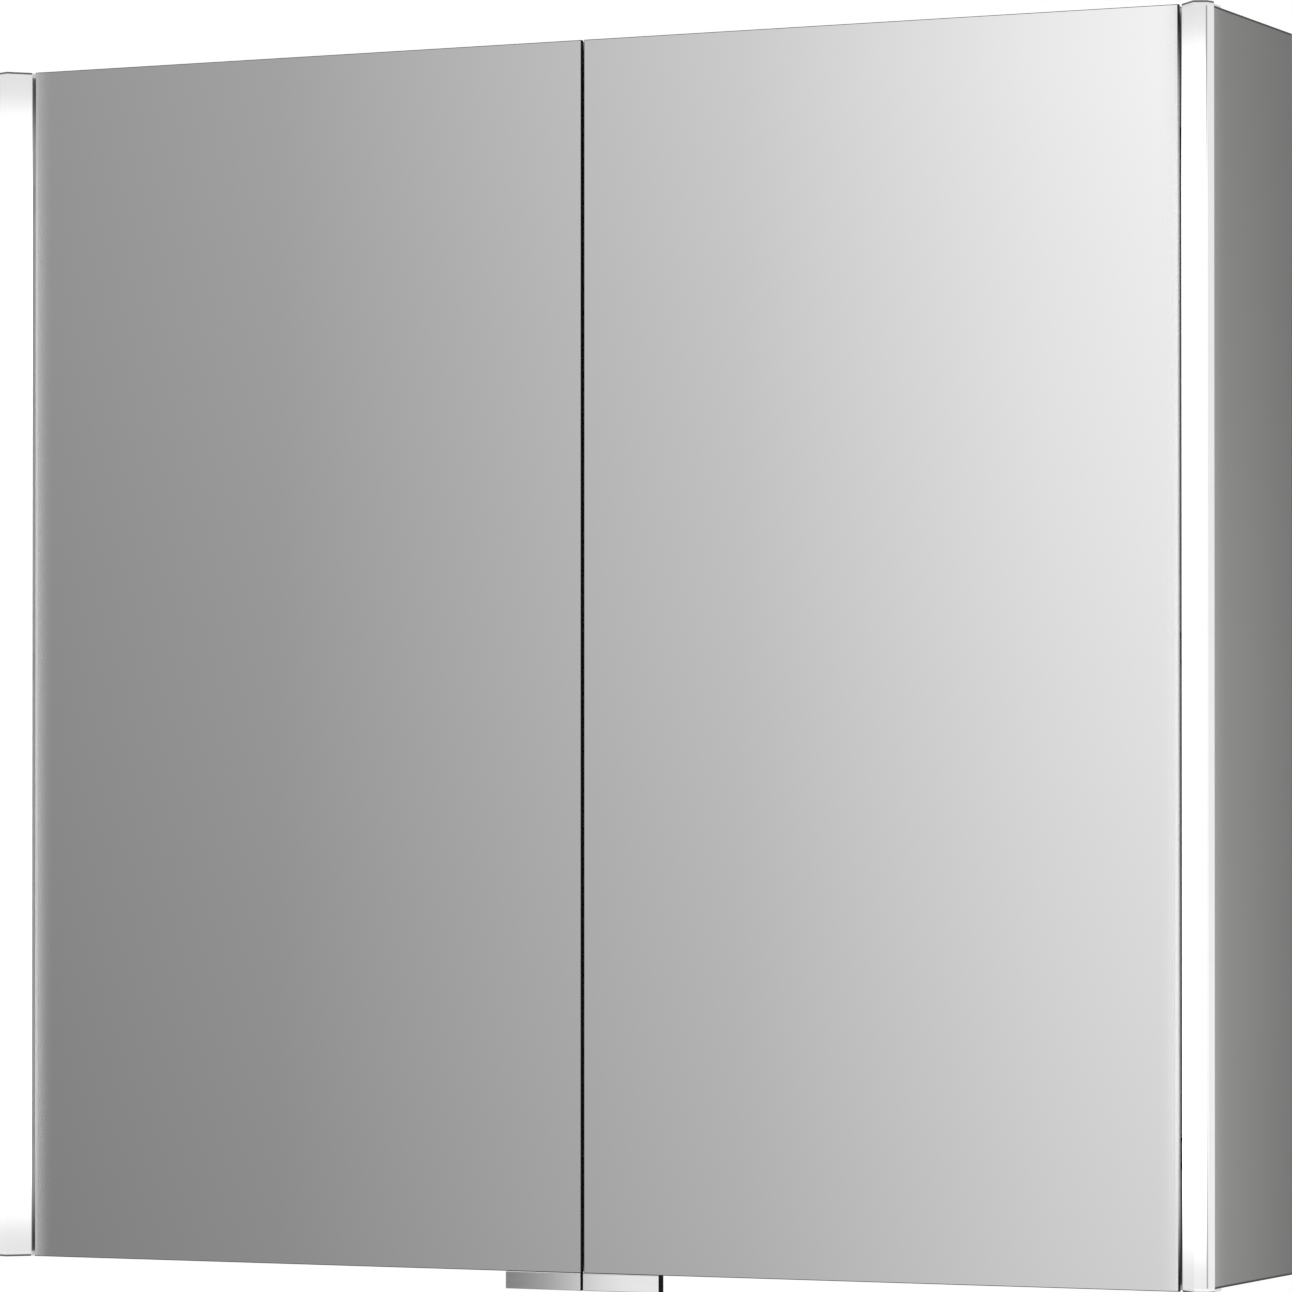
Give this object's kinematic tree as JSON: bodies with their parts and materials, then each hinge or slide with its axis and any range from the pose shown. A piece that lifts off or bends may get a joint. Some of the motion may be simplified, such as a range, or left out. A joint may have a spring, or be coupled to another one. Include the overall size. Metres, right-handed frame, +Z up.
{
  "type": "mirror cabinet",
  "caption": "Wall-hung bathroom mirror cabinet with mirrored doors on concealed hinges, upright light bars at its sides, glass shelves, a switch and a socket inside.",
  "frame": {"origin": "centre of the wall face, at mid-width and at the mid-height of the doors and light bars", "axes": "+Y into the wall, +Z up, +X to the right for a person who looks at the mirrors"},
  "size_m": [0.8, 0.1483, 0.7475],
  "materials": {
    "anodised_panel": "satin anodised grey, upright grain",
    "back_board": "white lacquered board",
    "mirror_glass": "clear silvered mirror with ground edges",
    "shelf_glass": "clear glass with ground edges",
    "bright_steel": "plated steel",
    "light_aluminium": "fine anodised silver",
    "led_board": "white solder mask",
    "opal_lens": "opal, lit from inside",
    "opal_cap": "opal, faintly lit",
    "core_board": "light board",
    "brushed_handle": "brushed along its length",
    "hinge_steel": "nickel-plated steel",
    "soft_rubber": "soft moulded rubber",
    "white_plastic": "moulded white",
    "grey_plastic": "moulded light grey",
    "lead_sheath": "white flexible sheath"
  },
  "bodies": {
    "cabinet": {"back_panel": "back_board", "bottom_panel": "anodised_panel", "cable_grommet": "soft_rubber", "centre_partition": "anodised_panel", "door_bumpers": "soft_rubber", "glass_shelf_left_1": "shelf_glass", "glass_shelf_left_2": "shelf_glass", "glass_shelf_left_3": "shelf_glass", "glass_shelf_right_1": "shelf_glass", "glass_shelf_right_2": "shelf_glass", "glass_shelf_right_3": "shelf_glass", "hinge_arms_left": "hinge_steel", "hinge_arms_right": "hinge_steel", "hinge_plate_screws_left": "bright_steel", "hinge_plate_screws_right": "bright_steel", "hinge_plates_left": "hinge_steel", "hinge_plates_right": "hinge_steel", "led_driver": "grey_plastic", "led_driver_cover": "grey_plastic", "led_strip_left": "led_board", "led_strip_right": "led_board", "light_carrier_left": "light_aluminium", "light_carrier_right": "light_aluminium", "light_end_caps_left": "opal_cap", "light_end_caps_right": "opal_cap", "light_lens_left": "opal_lens", "light_lens_right": "opal_lens", "lights_lead_left": "lead_sheath", "lights_lead_right": "lead_sheath", "power_unit": "white_plastic", "rear_mirror_left": "mirror_glass", "rear_mirror_right": "mirror_glass", "shelf_pegs_left": "bright_steel", "shelf_pegs_right": "bright_steel", "side_panel_left": "anodised_panel", "side_panel_right": "anodised_panel", "socket_insert": "white_plastic", "top_panel": "anodised_panel", "wall_fixing_washers": "bright_steel"},
    "left_door": {"door_front_mirror_left": "mirror_glass", "door_back_mirror_left": "mirror_glass", "door_frame_left": "light_aluminium", "door_core_left": "core_board", "door_handle_left": "brushed_handle", "handle_screws_left": "bright_steel", "hinge_cups_left": "hinge_steel", "hinge_cup_screws_left": "bright_steel", "hinge_pins_left": "bright_steel"},
    "right_door": {"door_front_mirror_right": "mirror_glass", "door_back_mirror_right": "mirror_glass", "door_frame_right": "light_aluminium", "door_core_right": "core_board", "door_handle_right": "brushed_handle", "handle_screws_right": "bright_steel", "hinge_cups_right": "hinge_steel", "hinge_cup_screws_right": "bright_steel", "hinge_pins_right": "bright_steel"},
    "light_switch": {"light_switch": "white_plastic"}
  },
  "joints": [
    {"name": "left_door_hinge", "type": "hinge", "parent": "cabinet", "child": "left_door", "pos_m": [-0.3622, -0.129, 0], "axis": [0, 0, -1], "range_deg": [0, 110]},
    {"name": "right_door_hinge", "type": "hinge", "parent": "cabinet", "child": "right_door", "pos_m": [0.3622, -0.129, 0], "axis": [0, 0, 1], "range_deg": [0, 110]},
    {"name": "light_switch_rock", "type": "hinge", "parent": "cabinet", "child": "light_switch", "pos_m": [0.16, -0.079, 0.32415], "axis": [-1, 0, 0], "range_deg": [0, 14]}
  ]
}
